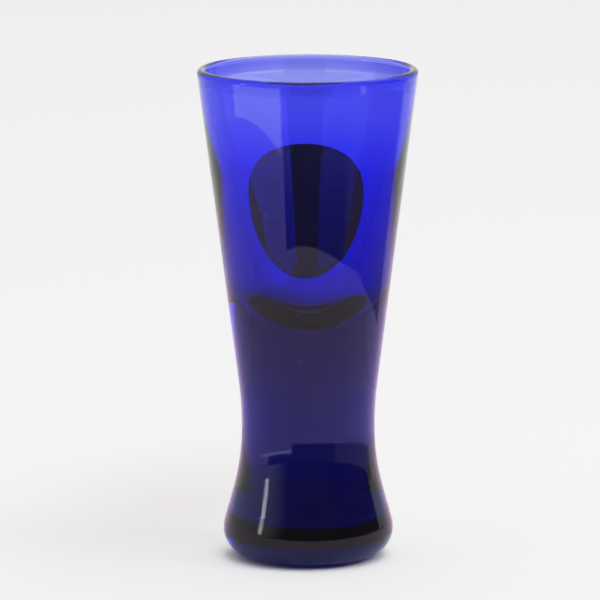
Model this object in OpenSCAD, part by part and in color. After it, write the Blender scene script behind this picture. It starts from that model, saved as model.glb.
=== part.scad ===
// Tall shot glass in a flared pilsner shape: one heavy piece of cobalt blue glass
// with a solid stem and foot, and an oval of opaque enamel fired on to its wall.
// The origin is the centre of the base on the table, +Z is up, and the oval is on the +Y side.

/* [Overall size] */
// Height from the table to the top of the lip
height = 105; // [103:0.5:110]
// Diameter over the lip
rim_d = 46.9; // [45:0.1:48]
// Diameter at the narrowest part of the stem
waist_d = 28.6; // [27.5:0.1:29]
// Height of the narrowest part of the stem
waist_h = 28; // [26:0.5:30]
// Radius of the long curve that joins the stem to the straight cone
neck_r = 80; // [60:1:100]

/* [Foot] */
// Diameter at the widest part of the foot
foot_d = 36.4; // [35.4:0.1:37]
// Height of the widest part of the foot
foot_h = 6; // [5:0.1:7]
// Width of the heel that curves in under the foot
heel_w = 6.8; // [5:0.1:7.5]
// Radius of the foot's shoulder, above its widest part
shoulder_r = 9; // [6:0.5:11]
// Lean of the straight flare between the shoulder and the stem, in degrees
flare_angle = 15.5; // [15.2:0.1:18]
// Radius of the shallow hollow under the base
hollow_r = 9; // [7:0.5:10]
// Depth of the shallow hollow under the base
hollow_h = 0.8; // [0.3:0.1:1.5]

/* [Lip and drinking space] */
// Thickness of the rounded lip
lip_t = 2.05; // [1.8:0.05:2.6]
// How far the lip stands out past the cone outside
lip_proud = 0; // [0:0.05:0.4]
// Distance from the lip's centre down to where its swell on the inside ends
lip_swell_h = 2.2; // [1.8:0.1:3]
// Thickness of the even wall under the lip
wall_t = 1.75; // [1.4:0.05:2]
// Depth of the drinking space from the top of the lip
cup_depth = 55; // [50:0.5:60]
// Distance from the top of the lip down to where the wall begins to thicken
even_wall_h = 13.4; // [12:0.2:20]
// Distance above and below that line over which the inside bends
bend_reach = 7.6; // [3:0.2:8]
// Half-width of the oval that rounds off the bottom of the drinking space
cup_bottom_r = 12.5; // [11.5:0.1:13]
// Half-height of the oval that rounds off the bottom of the drinking space
cup_bottom_h = 16; // [13:0.5:18]

/* [Oval print] */
// Thickness of the enamel
print_t = 0.1; // [0.08:0.01:0.2]
// Width of the oval, straight across
print_w = 31; // [20:0.2:32]
// Height of the oval's widest line above the table
print_z = 71.3; // [70:0.1:76]
// Height of the oval above its widest line
print_top = 13; // [8:0.1:14]
// Height of the oval below its widest line
print_drop = 16.8; // [10:0.1:18]

/* [Hidden] */
$fn = 96;
arc_steps = 16;

waist_r = waist_d / 2;
foot_r = foot_d / 2;
lip_r = lip_t / 2;
lip_z = height - lip_r;
lip_centre_r = rim_d / 2 - lip_r;

// The straight flare runs down from the stem's lower curve to the shoulder.
shoulder_top = [foot_r - shoulder_r * (1 - cos(flare_angle)), foot_h + shoulder_r * sin(flare_angle)];
flare_rise = waist_h - shoulder_top[1];
flare_run = shoulder_top[0] - waist_r;
flare_r = (flare_rise * tan(flare_angle) - flare_run) / (1 / cos(flare_angle) - 1);

// The outside cone passes through this point beside the lip and is tangent to the neck curve.
cone_top = [rim_d / 2 - lip_proud, lip_z];
neck_centre = [waist_r + neck_r, waist_h];
to_cone_top = cone_top - neck_centre;
cone_angle = 180 - atan2(to_cone_top[1], to_cone_top[0]) - acos(neck_r / norm(to_cone_top));
cone_foot = neck_centre + neck_r * [-cos(cone_angle), sin(cone_angle)];
function cone_r(z) = cone_foot[0] + (z - cone_foot[1]) * tan(cone_angle);

// The even wall's inside runs parallel to the outside cone, through this point beside the lip.
cup_top = [cone_top[0] - wall_t, lip_z];
function even_wall_r(z) = cup_top[0] + (z - cup_top[1]) * tan(cone_angle);

// Below, a straight taper runs from this corner to the oval bottom, which it meets at a tangent.
corner = [even_wall_r(height - even_wall_h), height - even_wall_h];
cup_centre_z = height - cup_depth + cup_bottom_h;
to_corner = [corner[0], (corner[1] - cup_centre_z) * cup_bottom_r / cup_bottom_h];
taper_foot_turn = acos(cup_bottom_r / norm(to_corner)) - atan2(to_corner[1], to_corner[0]);
taper_foot = [cup_bottom_r * cos(taper_foot_turn), cup_centre_z - cup_bottom_h * sin(taper_foot_turn)];
taper_angle = atan2(corner[0] - taper_foot[0], corner[1] - taper_foot[1]);

// An arc rounds off that corner.
bend_r = bend_reach / tan((taper_angle - cone_angle) / 2);
bend_top = corner + bend_reach * [sin(cone_angle), cos(cone_angle)];
bend_centre = bend_top - bend_r * [cos(cone_angle), -sin(cone_angle)];

// On either side, a last straight run from these points meets the lip's curve at a tangent.
under_lip_z = lip_z - 2 * lip_t;
lip_centre = [lip_centre_r, lip_z];
under_lip_out = [cone_r(under_lip_z), under_lip_z];
under_lip_in = [even_wall_r(lip_z - lip_swell_h), lip_z - lip_swell_h];
to_out = under_lip_out - lip_centre;
to_in = under_lip_in - lip_centre;
lip_turn_out = atan2(to_out[1], to_out[0]) + acos(lip_r / norm(to_out));
lip_turn_in = 360 + atan2(to_in[1], to_in[0]) - acos(lip_r / norm(to_in));

// Upper and lower halves of the oval: how full each one is, 2 being a plain ellipse.
print_top_power = 2.2;
print_drop_power = 1.95;
print_steps = 64;

// Points along an ellipse from angle a0 to a1, without the first one.
function curve(centre, size, a0, a1, steps = arc_steps) =
    [for (i = [1:steps]) let (a = a0 + (a1 - a0) * i / steps)
        centre + [size[0] * cos(a), size[1] * sin(a)]];

hollow_arc_r = (hollow_r * hollow_r + hollow_h * hollow_h) / (2 * hollow_h);
hollow_angle = asin(hollow_r / hollow_arc_r);

// Half of the glass, cut down its middle: up the outside, over the lip and down the inside.
outline = concat(
    [[0, hollow_h]],
    curve([0, hollow_h - hollow_arc_r], [hollow_arc_r, hollow_arc_r], 90, 90 - hollow_angle, 6),
    [[foot_r - heel_w, 0]],
    curve([foot_r - heel_w, foot_h], [heel_w, foot_h], -90, 0),
    curve([foot_r - shoulder_r, foot_h], [shoulder_r, shoulder_r], 0, flare_angle, 6),
    curve([waist_r + flare_r, waist_h], [flare_r, flare_r], 180 + flare_angle, 180),
    curve(neck_centre, [neck_r, neck_r], 180, 180 - cone_angle, 8),
    [under_lip_out, lip_centre + lip_r * [cos(lip_turn_out), sin(lip_turn_out)]],
    curve(lip_centre, [lip_r, lip_r], lip_turn_out, lip_turn_in, 24),
    [under_lip_in],
    [bend_top],
    curve(bend_centre, [bend_r, bend_r], -cone_angle, -taper_angle, 8),
    [taper_foot],
    curve([0, cup_centre_z], [cup_bottom_r, cup_bottom_h], -taper_foot_turn, -90)
);

// A point on the oval's edge: t runs once round it, from the widest line on the +X side.
function signed_power(v, p) = sign(v) * pow(abs(v), p);
function oval_point(t) =
    let (
        power = t < 180 ? print_top_power : print_drop_power,
        reach = t < 180 ? print_top : print_drop
    )
    [print_w / 2 * signed_power(cos(t), 2 / power), reach * signed_power(sin(t), 2 / power)];

module glass_body() {
    color([0.13, 0.1, 0.72, 0.75])
    rotate_extrude() polygon(outline);
}

// A skin of even thickness on the outside cone, cut to the oval.
module oval_print() {
    skin_low = print_z - print_drop - 1;
    skin_high = print_z + print_top + 1;
    skin = print_t / cos(cone_angle);
    color([0.05, 0.05, 0.07])
    intersection() {
        rotate_extrude() polygon([
            [cone_r(skin_low), skin_low],
            [cone_r(skin_low) + skin, skin_low],
            [cone_r(skin_high) + skin, skin_high],
            [cone_r(skin_high), skin_high]
        ]);
        translate([0, rim_d, print_z]) rotate([90, 0, 0])
        linear_extrude(rim_d)
        polygon([for (i = [0:print_steps - 1]) oval_point(360 * i / print_steps)]);
    }
}

glass_body();
oval_print();
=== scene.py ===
"""Looks for the tall flared shot glass: cobalt glass with a fired-on oval, on a pale cloth in soft light."""

import math

import bmesh
import bpy
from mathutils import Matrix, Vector, noise


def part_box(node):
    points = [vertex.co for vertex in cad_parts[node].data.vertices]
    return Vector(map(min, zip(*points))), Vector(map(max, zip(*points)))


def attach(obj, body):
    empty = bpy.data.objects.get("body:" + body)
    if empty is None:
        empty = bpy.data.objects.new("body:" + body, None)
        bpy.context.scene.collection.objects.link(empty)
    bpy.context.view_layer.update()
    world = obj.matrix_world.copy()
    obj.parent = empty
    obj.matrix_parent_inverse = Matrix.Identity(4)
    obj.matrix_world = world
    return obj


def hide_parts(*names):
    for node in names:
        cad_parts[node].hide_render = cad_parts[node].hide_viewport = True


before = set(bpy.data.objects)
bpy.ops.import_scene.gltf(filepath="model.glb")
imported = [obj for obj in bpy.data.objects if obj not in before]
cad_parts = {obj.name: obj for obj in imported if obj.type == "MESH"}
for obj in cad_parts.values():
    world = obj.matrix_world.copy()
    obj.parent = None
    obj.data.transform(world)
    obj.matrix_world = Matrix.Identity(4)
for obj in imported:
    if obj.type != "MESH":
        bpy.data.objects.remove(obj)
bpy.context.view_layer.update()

MM = 0.001

# ---------------------------------------------------------------- the glass's own sizes, as in the CAD
glass_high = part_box("glass_body")[1]
height = glass_high.z
rim_r = glass_high.x
waist_r = 14.3 * MM
waist_z = 28 * MM
neck_r = 80 * MM
foot_r = 18.2 * MM
foot_z = 6 * MM
heel_w = 6.8 * MM
shoulder_r = 9 * MM
flare_angle = math.radians(15.5)
hollow_r = 9 * MM
hollow_h = 0.8 * MM
lip_r = 1.025 * MM
lip_proud = 0.0 * MM
lip_swell_h = 2.2 * MM
wall_t = 1.75 * MM
even_wall_h = 13.4 * MM
bend_reach = 7.6 * MM
cup_depth = 55 * MM
cup_bottom_r = 12.5 * MM
cup_bottom_h = 16 * MM
print_t = 0.1 * MM
print_half_w = 15.5 * MM
print_z = 71.3 * MM
print_top = 13 * MM
print_drop = 16.8 * MM
print_top_power = 2.2
print_drop_power = 1.95

# A pressed surface is never quite even: it waves a little, more inwards than outwards. The waves die out
# over these heights, above a calm stretch at the base and below another one under the lip.
ripple_depth = 0.02 * MM
ripple_pitch = 9 * MM
ripples_round = 1.6
ripple_inwards = 0.4
calm_base_h = 3 * MM
calm_lip_h = 8 * MM
base_fade_h = 6 * MM
lip_fade_h = 12 * MM

lip_z = height - lip_r
lip_centre_r = rim_r - lip_r
under_lip_z = lip_z - 4 * lip_r

# The straight flare between the shoulder and the stem's lower curve.
shoulder_end = (
    foot_r - shoulder_r * (1 - math.cos(flare_angle)),
    foot_z + shoulder_r * math.sin(flare_angle),
)
flare_rise = waist_z - shoulder_end[1]
flare_run = shoulder_end[0] - waist_r
flare_r = (flare_rise * math.tan(flare_angle) - flare_run) / (1 / math.cos(flare_angle) - 1)

# The outside cone, tangent to the neck curve.
cone_top_r = rim_r - lip_proud
to_cone = (cone_top_r - waist_r - neck_r, lip_z - waist_z)
cone_angle = math.pi - math.atan2(to_cone[1], to_cone[0]) - math.acos(neck_r / math.hypot(*to_cone))
cone_slope = math.tan(cone_angle)
cone_foot = (
    waist_r + neck_r * (1 - math.cos(cone_angle)),
    waist_z + neck_r * math.sin(cone_angle),
)

# The inside: an even wall under the lip, a straight taper below it, and an oval bottom.
corner = (cone_top_r - wall_t + (height - even_wall_h - lip_z) * cone_slope, height - even_wall_h)
cup_centre_z = height - cup_depth + cup_bottom_h
to_corner = (corner[0], (corner[1] - cup_centre_z) * cup_bottom_r / cup_bottom_h)
taper_foot_turn = math.acos(cup_bottom_r / math.hypot(*to_corner)) - math.atan2(to_corner[1], to_corner[0])
taper_foot = (
    cup_bottom_r * math.cos(taper_foot_turn),
    cup_centre_z - cup_bottom_h * math.sin(taper_foot_turn),
)
taper_angle = math.atan2(corner[0] - taper_foot[0], corner[1] - taper_foot[1])
bend_r = bend_reach / math.tan((taper_angle - cone_angle) / 2)
bend_top = (corner[0] + bend_reach * math.sin(cone_angle), corner[1] + bend_reach * math.cos(cone_angle))
bend_centre = (bend_top[0] - bend_r * math.cos(cone_angle), bend_top[1] + bend_r * math.sin(cone_angle))


def cone_r(z):
    """Radius of the outside cone at a height."""
    return cone_foot[0] + (z - cone_foot[1]) * cone_slope


def curve(centre, size, a0, a1, steps):
    """Points along an ellipse from angle a0 to a1 in degrees, without the first one."""
    points = []
    for i in range(1, steps + 1):
        a = math.radians(a0 + (a1 - a0) * i / steps)
        points.append((centre[0] + size[0] * math.cos(a), centre[1] + size[1] * math.sin(a)))
    return points


def straight(start, end, steps):
    """Points along a straight line, without the first one."""
    return [
        (start[0] + (end[0] - start[0]) * i / steps, start[1] + (end[1] - start[1]) * i / steps)
        for i in range(1, steps + 1)
    ]


def lip_turn(point, side):
    """Angle, in degrees, at which a straight line from the point meets the lip's curve at a tangent."""
    across, up = point[0] - lip_centre_r, point[1] - lip_z
    return math.degrees(math.atan2(up, across) + side * math.acos(lip_r / math.hypot(across, up)))


def lip_point(turn):
    """A point on the lip's curve, at an angle in degrees."""
    a = math.radians(turn)
    return (lip_centre_r + lip_r * math.cos(a), lip_z + lip_r * math.sin(a))


def outline():
    """Half of the glass: up the outside, over the lip and down the inside."""
    flare_deg = math.degrees(flare_angle)
    cone_deg = math.degrees(cone_angle)
    taper_deg = math.degrees(taper_angle)
    foot_deg = math.degrees(taper_foot_turn)
    hollow_arc_r = (hollow_r ** 2 + hollow_h ** 2) / (2 * hollow_h)
    hollow_deg = math.degrees(math.asin(hollow_r / hollow_arc_r))
    points = [(0.0, hollow_h)]
    points += curve((0, hollow_h - hollow_arc_r), (hollow_arc_r,) * 2, 90, 90 - hollow_deg, 12)
    points += straight(points[-1], (foot_r - heel_w, 0.0), 3)
    points += curve((foot_r - heel_w, foot_z), (heel_w, foot_z), -90, 0, 28)
    points += curve((foot_r - shoulder_r, foot_z), (shoulder_r,) * 2, 0, flare_deg, 8)
    flare_end = (waist_r + flare_r * (1 - math.cos(flare_angle)), waist_z - flare_r * math.sin(flare_angle))
    points += straight(points[-1], flare_end, 8)
    points += curve((waist_r + flare_r, waist_z), (flare_r,) * 2, 180 + flare_deg, 180, 24)
    points += curve((waist_r + neck_r, waist_z), (neck_r,) * 2, 180, 180 - cone_deg, 16)
    under_out = (cone_r(under_lip_z), under_lip_z)
    swell_foot_z = lip_z - lip_swell_h
    under_in = (cone_r(swell_foot_z) - wall_t, swell_foot_z)
    turn_out = lip_turn(under_out, 1)
    turn_in = 360 + lip_turn(under_in, -1)
    points += straight(points[-1], under_out, 66)
    points += straight(points[-1], lip_point(turn_out), 8)
    points += curve((lip_centre_r, lip_z), (lip_r,) * 2, turn_out, turn_in, 48)
    points += straight(points[-1], under_in, 8)
    points += straight(points[-1], bend_top, 4)
    points += curve(bend_centre, (bend_r,) * 2, -cone_deg, -taper_deg, 20)
    points += straight(points[-1], taper_foot, 24)
    points += curve((0, cup_centre_z), (cup_bottom_r, cup_bottom_h), -foot_deg, -90, 40)
    points[-1] = (0.0, height - cup_depth)
    return points


def ripple(z, turn, outside):
    """Shift of the outside's radius at a height and a direction; the inside stays even."""
    if not outside:
        return 0.0
    fade_in = min(1.0, max(0.0, (z - calm_base_h) / base_fade_h))
    fade_out = min(1.0, max(0.0, (lip_z - calm_lip_h - z) / lip_fade_h))
    spot = Vector((math.cos(turn) * ripples_round, math.sin(turn) * ripples_round, z / ripple_pitch))
    return ripple_depth * (fade_in * fade_out) * (noise.noise(spot) - ripple_inwards)


def lathe(name, points, sides):
    """A closed surface of revolution from an outline that starts and ends on the axis."""
    mesh = bmesh.new()
    rings = []
    top = max(range(len(points)), key=lambda i: points[i][1])
    for i, (r, z) in enumerate(points):
        if r == 0.0:
            rings.append([mesh.verts.new((0, 0, z))])
            continue
        ring = []
        for k in range(sides):
            turn = 2 * math.pi * k / sides
            wavy_r = r + ripple(z, turn, i < top)
            ring.append(mesh.verts.new((wavy_r * math.cos(turn), wavy_r * math.sin(turn), z)))
        rings.append(ring)
    for low, high in zip(rings, rings[1:]):
        for k in range(sides):
            n = (k + 1) % sides
            if len(low) == 1:
                mesh.faces.new((low[0], high[n], high[k]))
            elif len(high) == 1:
                mesh.faces.new((low[k], low[n], high[0]))
            else:
                mesh.faces.new((low[k], low[n], high[n], high[k]))
    bmesh.ops.recalc_face_normals(mesh, faces=mesh.faces)
    return finish_mesh(name, mesh)


def finish_mesh(name, mesh):
    """Turns the mesh into a smooth-shaded object in the scene."""
    data = bpy.data.meshes.new(name)
    mesh.to_mesh(data)
    mesh.free()
    data.polygons.foreach_set("use_smooth", [True] * len(data.polygons))
    piece = bpy.data.objects.new(name, data)
    bpy.context.scene.collection.objects.link(piece)
    return piece


# ---------------------------------------------------------------- materials
def new_material(name):
    """A material with its node tree and its surface shader."""
    mat = bpy.data.materials.new(name)
    mat.use_nodes = True
    return mat, mat.node_tree, mat.node_tree.nodes["Principled BSDF"]


def noise_node(tree, scale, detail, stretch=(1, 1, 1)):
    """Noise over the object's own coordinates, in metres."""
    place = tree.nodes.new("ShaderNodeTexCoord")
    size = tree.nodes.new("ShaderNodeMapping")
    size.inputs["Scale"].default_value = stretch
    field = tree.nodes.new("ShaderNodeTexNoise")
    field.inputs["Scale"].default_value = scale
    field.inputs["Detail"].default_value = detail
    tree.links.new(place.outputs["Object"], size.inputs["Vector"])
    tree.links.new(size.outputs["Vector"], field.inputs["Vector"])
    return field


def band(tree, source, low, high, to_low, to_high):
    """Maps a value from low..high to to_low..to_high, held at the ends."""
    node = tree.nodes.new("ShaderNodeMapRange")
    node.inputs["From Min"].default_value = low
    node.inputs["From Max"].default_value = high
    node.inputs["To Min"].default_value = to_low
    node.inputs["To Max"].default_value = to_high
    tree.links.new(source, node.inputs["Value"])
    return node.outputs["Result"]


def cobalt_glass():
    """Clear cobalt glass: colour from depth, a faint film of handling marks, dust and a slow swell."""
    mat, tree, bsdf = new_material("cobalt_glass")
    bsdf.inputs["Base Color"].default_value = (1, 1, 1, 1)
    bsdf.inputs["IOR"].default_value = 1.5
    bsdf.inputs["Transmission Weight"].default_value = 1.0
    absorb = tree.nodes.new("ShaderNodeVolumeAbsorption")
    absorb.inputs["Color"].default_value = (0.146, 0.186, 0.905, 1)
    absorb.inputs["Density"].default_value = 820.0
    tree.links.new(absorb.outputs["Volume"], tree.nodes["Material Output"].inputs["Volume"])

    smears = noise_node(tree, 160, 4, (1, 1, 0.35))
    film = band(tree, smears.outputs["Fac"], 0.52, 0.8, 0.0, 0.045)
    specks = noise_node(tree, 2600, 1)
    dust = band(tree, specks.outputs["Fac"], 0.80, 0.84, 0.0, 0.5)
    rough = tree.nodes.new("ShaderNodeMath")
    rough.operation = "ADD"
    rough.use_clamp = True
    tree.links.new(film, rough.inputs[0])
    tree.links.new(dust, rough.inputs[1])
    tree.links.new(rough.outputs[0], bsdf.inputs["Roughness"])

    swell = noise_node(tree, 90, 2, (1, 1, 0.5))
    bump = tree.nodes.new("ShaderNodeBump")
    bump.inputs["Strength"].default_value = 0.06
    bump.inputs["Distance"].default_value = 0.2 * MM
    tree.links.new(swell.outputs["Fac"], bump.inputs["Height"])
    tree.links.new(bump.outputs["Normal"], bsdf.inputs["Normal"])
    return mat


def enamel(name, colour, gloss):
    """Fired enamel: nearly black, with slightly uneven colour, small pinholes and an uneven gloss."""
    mat, tree, bsdf = new_material(name)
    bsdf.inputs["Specular IOR Level"].default_value = gloss
    cloud = noise_node(tree, 420, 5)
    ramp = tree.nodes.new("ShaderNodeValToRGB")
    ramp.color_ramp.elements[0].position = 0.35
    ramp.color_ramp.elements[0].color = (*[c * 0.6 for c in colour], 1)
    ramp.color_ramp.elements[1].position = 0.7
    ramp.color_ramp.elements[1].color = (*[c * 1.4 for c in colour], 1)
    tree.links.new(cloud.outputs["Fac"], ramp.inputs[0])
    tree.links.new(ramp.outputs[0], bsdf.inputs["Base Color"])
    tree.links.new(band(tree, cloud.outputs["Fac"], 0.3, 0.7, 0.18, 0.34), bsdf.inputs["Roughness"])
    grain = noise_node(tree, 2400, 3)
    bump = tree.nodes.new("ShaderNodeBump")
    bump.inputs["Strength"].default_value = 0.25
    bump.inputs["Distance"].default_value = 0.03 * MM
    tree.links.new(grain.outputs["Fac"], bump.inputs["Height"])
    tree.links.new(bump.outputs["Normal"], bsdf.inputs["Normal"])
    return mat


# ---------------------------------------------------------------- the glass
glass = lathe("glass_body_fine", outline(), 256)
glass.data.materials.append(cobalt_glass())
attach(glass, "root")
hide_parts("glass_body")


# The enamel's materials in their order: its outer face, then the back that shows through the glass.
face_slot, back_slot = 0, 1


def oval_piece():
    """The enamel: a closed skin, fused a little way into the wall so that no air shows behind it."""
    sunk = 0.04 * MM
    sides, rings = 128, 24
    mesh = bmesh.new()

    def point(t, s, lift):
        """A point at turn t and share s of the way out to the oval's edge, lifted off the wall."""
        power = print_top_power if t < math.pi else print_drop_power
        reach = print_top if t < math.pi else print_drop
        c, k = math.cos(t), math.sin(t)
        x = s * print_half_w * math.copysign(abs(c) ** (2 / power), c)
        z = print_z + s * reach * math.copysign(abs(k) ** (2 / power), k)
        r = cone_r(z) + lift / math.cos(cone_angle)
        return mesh.verts.new((x, math.sqrt(r * r - x * x), z))

    layers = []
    for lift in (-sunk, print_t):
        centre = point(0, 0, lift)
        layer = [[centre]]
        for j in range(1, rings + 1):
            layer.append([point(2 * math.pi * k / sides, j / rings, lift) for k in range(sides)])
        layers.append(layer)
    for layer, slot in zip(layers, (back_slot, face_slot)):
        for low, high in zip(layer, layer[1:]):
            for k in range(sides):
                n = (k + 1) % sides
                if len(low) == 1:
                    corners = (low[0], high[k], high[n])
                else:
                    corners = (low[k], low[n], high[n], high[k])
                mesh.faces.new(corners).material_index = slot
    for k in range(sides):
        n = (k + 1) % sides
        mesh.faces.new((layers[0][-1][k], layers[0][-1][n], layers[1][-1][n], layers[1][-1][k]))
    bmesh.ops.recalc_face_normals(mesh, faces=mesh.faces)
    piece = finish_mesh("oval_print_fine", mesh)
    piece.data.set_sharp_from_angle(angle=math.radians(40))
    return piece


oval = oval_piece()
oval.data.materials.append(enamel("enamel", (0.012, 0.012, 0.016), 0.5))
oval.data.materials.append(enamel("enamel_back", (0.003, 0.003, 0.004), 0.0))
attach(oval, "root")
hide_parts("oval_print")


# ---------------------------------------------------------------- stage
camera_turn = math.radians(-2.45)
cloth = (0.86, 0.86, 0.86)


def stage_paint(name, colour, glow):
    """Matt paint for a stage piece, with a white glow of its own if asked."""
    mat, tree, bsdf = new_material(name)
    bsdf.inputs["Base Color"].default_value = (*colour, 1)
    bsdf.inputs["Roughness"].default_value = 0.9
    bsdf.inputs["Specular IOR Level"].default_value = 0.1
    bsdf.inputs["Emission Color"].default_value = (1, 1, 1, 1)
    bsdf.inputs["Emission Strength"].default_value = glow
    return mat


def flat_piece(name, corners, colour, glow=0.0):
    """A flat stage piece, matt or glowing."""
    mesh = bmesh.new()
    mesh.faces.new([mesh.verts.new(c) for c in corners])
    piece = finish_mesh(name, mesh)
    piece.data.materials.append(stage_paint(name, colour, glow))
    return piece


def seen_only_in(piece, mirrored=False, through_glass=False):
    """Limits a stage piece to what the glass mirrors, or to what is seen through it."""
    piece.visible_camera = False
    piece.visible_diffuse = False
    piece.visible_shadow = False
    piece.visible_glossy = mirrored
    piece.visible_transmission = through_glass


def polar(turn_deg, far, z):
    """A point seen from the glass at an angle from the front, positive to the camera's right."""
    a = math.radians(turn_deg) + camera_turn
    return (far * math.sin(a), -far * math.cos(a), z)


def floor():
    """A pale round cloth with a faint weave, soft creases and a painted shade beside the foot."""
    far = 3.0
    sides = 64
    turns = [2 * math.pi * k / sides for k in range(sides)]
    piece = flat_piece("floor", [(far * math.cos(a), far * math.sin(a), 0) for a in turns], cloth)
    tree = piece.data.materials[0].node_tree
    bsdf = tree.nodes["Principled BSDF"]
    creases = noise_node(tree, 22, 3, (1, 0.6, 1))
    weave = noise_node(tree, 900, 2)
    both = tree.nodes.new("ShaderNodeMath")
    both.operation = "MULTIPLY_ADD"
    both.inputs[1].default_value = 0.12
    tree.links.new(weave.outputs["Fac"], both.inputs[0])
    tree.links.new(creases.outputs["Fac"], both.inputs[2])
    bump = tree.nodes.new("ShaderNodeBump")
    bump.inputs["Strength"].default_value = 0.12
    bump.inputs["Distance"].default_value = 0.002
    tree.links.new(both.outputs[0], bump.inputs["Height"])
    tree.links.new(bump.outputs["Normal"], bsdf.inputs["Normal"])
    painted_warm_shade(tree, bsdf)


def painted_warm_shade(tree, bsdf):
    """A painted shade: the cloth's colour turns darker and warmer beside the foot, as if a shadow were thrown
    by something out of sight.
    """
    place = tree.nodes.new("ShaderNodeTexCoord")
    move = tree.nodes.new("ShaderNodeMapping")
    move.vector_type = "TEXTURE"
    move.inputs["Location"].default_value = (-0.030, 0.045, 0)
    move.inputs["Rotation"].default_value = (0, 0, math.radians(-20))
    move.inputs["Scale"].default_value = (0.045, 0.10, 1)
    # Painted shade: a soft spot that darkens and warms the cloth's colour beside the foot.
    patch = tree.nodes.new("ShaderNodeTexGradient")
    patch.gradient_type = "SPHERICAL"
    tint = tree.nodes.new("ShaderNodeValToRGB")
    tint.color_ramp.interpolation = "EASE"
    tint.color_ramp.elements[0].color = (*cloth, 1)
    tint.color_ramp.elements[1].color = (0.69, 0.65, 0.63, 1)
    tree.links.new(place.outputs["Object"], move.inputs["Vector"])
    tree.links.new(move.outputs["Vector"], patch.inputs["Vector"])
    tree.links.new(patch.outputs["Fac"], tint.inputs["Fac"])
    tree.links.new(tint.outputs["Color"], bsdf.inputs["Base Color"])


floor()


def ring_piece(name, turns, near, far, z, colour, glow=0.0):
    """A flat piece of a ring round the glass, its near and far edges each going evenly between two values."""
    steps = max(2, round(abs(turns[1] - turns[0]) / 6))
    share = [i / steps for i in range(steps + 1)]
    turn = [turns[0] + (turns[1] - turns[0]) * t for t in share]
    inner = [polar(a, near[0] + (near[1] - near[0]) * t, z) for a, t in zip(turn, share)]
    outer = [polar(a, far[0] + (far[1] - far[0]) * t, z) for a, t in zip(turn, share)]
    mesh = bmesh.new()
    inner = [mesh.verts.new(c) for c in inner]
    outer = [mesh.verts.new(c) for c in outer]
    for i in range(steps):
        mesh.faces.new((inner[i], outer[i], outer[i + 1], inner[i + 1]))
    bmesh.ops.recalc_face_normals(mesh, faces=mesh.faces)
    piece = finish_mesh(name, mesh)
    piece.data.materials.append(stage_paint(name, colour, glow))
    return piece


# What the outside of the glass mirrors, given as sheets seen only in its reflections, so painted reflections:
# pale lavender cloth near it, a glowing sheet for a sunlit patch on the left (painted sunlight), and from the
# edge of the table outwards dark and dim sheets for the dark of the room (painted dark reflections), less
# deep towards the right.
dark = (0.18, 0.16, 0.18)
dim = (0.38, 0.31, 0.38)
lavender = (0.90, 0.76, 0.90)
black = (0, 0, 0)
table_edge = 0.170
room_end = 2.8
mirrored_rings = (
    ("near_cloth", (-180, 180), (0.03, 0.03), (0.32, 0.32), 0.0006, lavender, 0.0),
    ("table_edge", (-27, 22), (table_edge, table_edge), (0.33, 0.33), 0.0012, dark, 0.0),
    ("dark_beyond", (-27, 46), (table_edge, table_edge), (room_end, room_end), 0.0010, dark, 0.0),
    ("dim_beside", (46, 120), (table_edge, table_edge), (room_end, room_end), 0.0010, dim, 0.0),
    ("dark_left", (-27, -70), (0.33, 0.36), (room_end, room_end), 0.0010, dark, 0.0),
    # A glowing sheet seen only in reflections: painted sunlight on the cloth, not a lamp.
    ("painted_sunlit_patch", (-29, -84), (0.230, 0.296), (0.278, 0.345), 0.0018, black, 2.1),
)
for ring in mirrored_rings:
    seen_only_in(ring_piece(*ring), mirrored=True)


def wall_piece(name, turns, far, low, high, colour, glow=0.0):
    """An upright stage piece between two directions from the glass."""
    left, right = turns
    corners = (polar(left, far, low), polar(right, far, low), polar(right, far, high), polar(left, far, high))
    return flat_piece(name, corners, colour, glow)


# A dim sheet on the right, a painted reflection of a dim wall, is mirrored above the cloth too.
seen_only_in(wall_piece("dim_side_wall", (34, 112), 1.2, 0, 0.7, (0.14, 0.12, 0.14)), mirrored=True)

# Glowing sheets stand in for the room's lit walls either side of the camera, seen only by way of the far
# wall's inside: painted light, not lamps.
for name, turns, glow in (("glowing_right_wall", (26, 125), 6.0), ("glowing_left_wall", (-20, -84), 4.0)):
    seen_only_in(wall_piece(name, turns, 1.0, 0.08, 0.40, black, glow), through_glass=True)


def area(name, place, aim, size, power, size_y=None):
    """A soft light that the camera itself doesn't see."""
    data = bpy.data.lights.new(name, "AREA")
    data.energy = power
    data.size = size
    if size_y:
        data.shape = "RECTANGLE"
        data.size_y = size_y
    light = bpy.data.objects.new(name, data)
    light.location = place
    light.rotation_euler = (Vector(aim) - Vector(place)).to_track_quat("-Z", "Y").to_euler()
    light.visible_camera = False
    bpy.context.scene.collection.objects.link(light)
    return light


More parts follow.
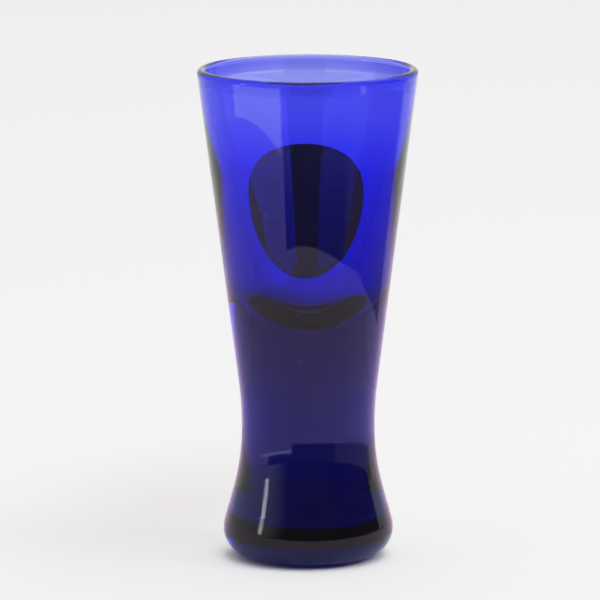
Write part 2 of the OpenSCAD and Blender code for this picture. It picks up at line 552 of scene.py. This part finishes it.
def room():
    """Pale all round and above, but dim in front, where the unlit room is."""
    world = bpy.data.worlds.new("room")
    bpy.context.scene.world = world
    world.use_nodes = True
    tree = world.node_tree
    back = tree.nodes["Background"]
    place = tree.nodes.new("ShaderNodeTexCoord")
    split = tree.nodes.new("ShaderNodeSeparateXYZ")
    tree.links.new(place.outputs["Generated"], split.inputs[0])
    behind = band(tree, split.outputs["Y"], -0.8, -0.45, 0, 1)
    above = band(tree, split.outputs["Z"], 0.5, 0.75, 0, 1)
    both = tree.nodes.new("ShaderNodeMath")
    both.operation = "MAXIMUM"
    tree.links.new(behind, both.inputs[0])
    tree.links.new(above, both.inputs[1])
    ramp = tree.nodes.new("ShaderNodeValToRGB")
    ramp.color_ramp.elements[0].color = (0.17, 0.15, 0.17, 1)
    ramp.color_ramp.elements[1].color = (0.82, 0.81, 0.82, 1)
    tree.links.new(both.outputs[0], ramp.inputs[0])
    tree.links.new(ramp.outputs[0], back.inputs["Color"])
    back.inputs["Strength"].default_value = 1.0


room()
base = (0, 0, 0)
area("sky_softbox", (0.2, 0.55, 1.3), (0, 0.1, 0), 1.2, 5.0)
for name, place, size, power in (
    ("front_fill", (0.25, -0.75, 0.95), 0.8, 3.2),
    ("right_key", (0.75, -0.3, 0.55), 0.3, 1.7),
):
    light = area(name, place, base, size, power)
    light.visible_glossy = False
    light.visible_transmission = False

# A tall window on the left in three panes, each given by its offset along the wall and its width.
window = (-0.86, -0.28, 0.22)
window_height = 0.26
power_per_width = 5.5
middle_of_glass = (0, 0, 0.06)
for i, (side, width) in enumerate(((-0.050, 0.022), (0.0, 0.046), (0.048, 0.014))):
    place = (window[0] - 0.3 * side, window[1] + 0.95 * side, window[2])
    pane = area("window_%d" % i, place, middle_of_glass, width, power_per_width * width, window_height)
    pane.data.color = (1, 0.93, 0.9)
    pane.visible_transmission = False

# ---------------------------------------------------------------- camera
camera_data = bpy.data.cameras.new("camera")
camera_data.sensor_width = 36
camera_data.lens = 309.6
camera = bpy.data.objects.new("camera", camera_data)
bpy.context.scene.collection.objects.link(camera)
camera_reach = 1.0791
camera_height = 0.2491
camera.location = (camera_reach * math.sin(camera_turn), -camera_reach * math.cos(camera_turn), camera_height)
look_down = math.radians(10.183)
look_side = math.radians(0.0705)
roll = math.radians(0.11)
camera.rotation_euler = (math.pi / 2 - look_down, roll, camera_turn + look_side)
bpy.context.scene.camera = camera

# A camera's usual response: deeper shadows, fuller mid-tones and a soft shoulder below white.
view = bpy.context.scene.view_settings
view.view_transform = "Standard"
view.use_curve_mapping = True
tone = view.curve_mapping
tone.clip_max_x = 2.0
for x, y in ((0.03, 0.022), (0.12, 0.095), (0.3, 0.33), (0.6, 0.75), (0.87, 0.87)):
    tone.curves[3].points.new(x, y)
tone.curves[3].points[-1].location = (1.4, 1.0)
tone.update()

bpy.context.scene.cycles.max_bounces = 24
bpy.context.scene.cycles.transmission_bounces = 24
bpy.context.scene.cycles.glossy_bounces = 16
